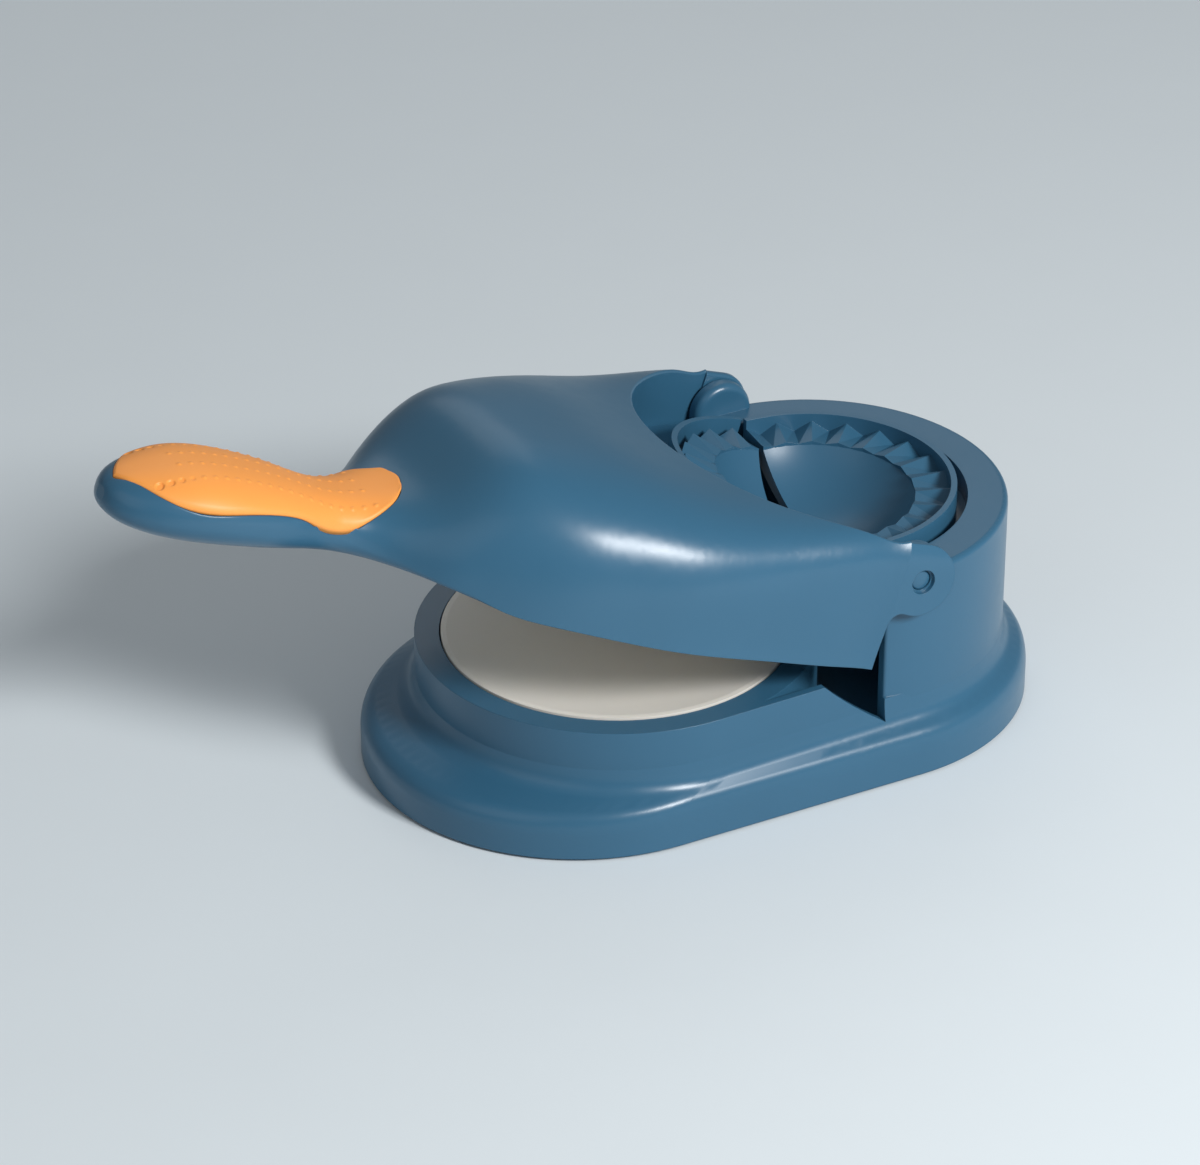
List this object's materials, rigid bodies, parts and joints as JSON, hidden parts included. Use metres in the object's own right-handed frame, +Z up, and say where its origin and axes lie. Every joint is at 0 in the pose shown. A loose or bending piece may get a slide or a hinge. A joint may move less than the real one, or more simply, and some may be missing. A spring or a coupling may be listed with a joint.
{
  "type": "dumpling press",
  "caption": "Hand dumpling press: an oval base with a white pressing dish and a hinged arm with a soft grip, which also folds back to close a pleated half-moon mould.",
  "frame": {"origin": "middle of the oval underside, on the table", "axes": "+Z up, +X from the handle's end towards the tower, +Y across along the hinge line"},
  "size_m": [0.255, 0.112, 0.1126],
  "materials": {
    "blue_plastic": "satin blue moulded plastic",
    "mould_plastic": "satin blue moulded plastic",
    "dark_plastic": "matt dark blue plastic",
    "pin_plastic": "blue plastic",
    "washer_plastic": "natural nylon",
    "white_plastic": "satin warm white plastic",
    "pad_rubber": "matt black rubber",
    "grip_rubber": "soft orange rubber",
    "screw_steel": "zinc-plated steel"
  },
  "bodies": {
    "base": {"base_shell": "blue_plastic", "bottom_cover": "dark_plastic", "bottom_cover_screws": "screw_steel", "non_slip_pad": "pad_rubber", "press_plate": "white_plastic", "press_plate_screws": "screw_steel", "rear_mould": "mould_plastic", "rear_mould_screws": "screw_steel", "left_hinge_pin": "pin_plastic", "right_hinge_pin": "pin_plastic", "left_hinge_washer": "washer_plastic", "right_hinge_washer": "washer_plastic"},
    "arm": {"arm_shell": "blue_plastic", "arm_cover": "dark_plastic", "arm_cover_screws": "screw_steel", "upper_press_plate": "white_plastic", "upper_press_plate_screws": "screw_steel", "front_mould": "mould_plastic", "front_mould_screws": "screw_steel", "grip_pad": "grip_rubber"}
  },
  "joints": [
    {"name": "arm_hinge", "type": "hinge", "parent": "base", "child": "arm", "pos_m": [0.0339, 0, 0.057], "axis": [0, 1, 0], "range_deg": [-20, 160]}
  ]
}
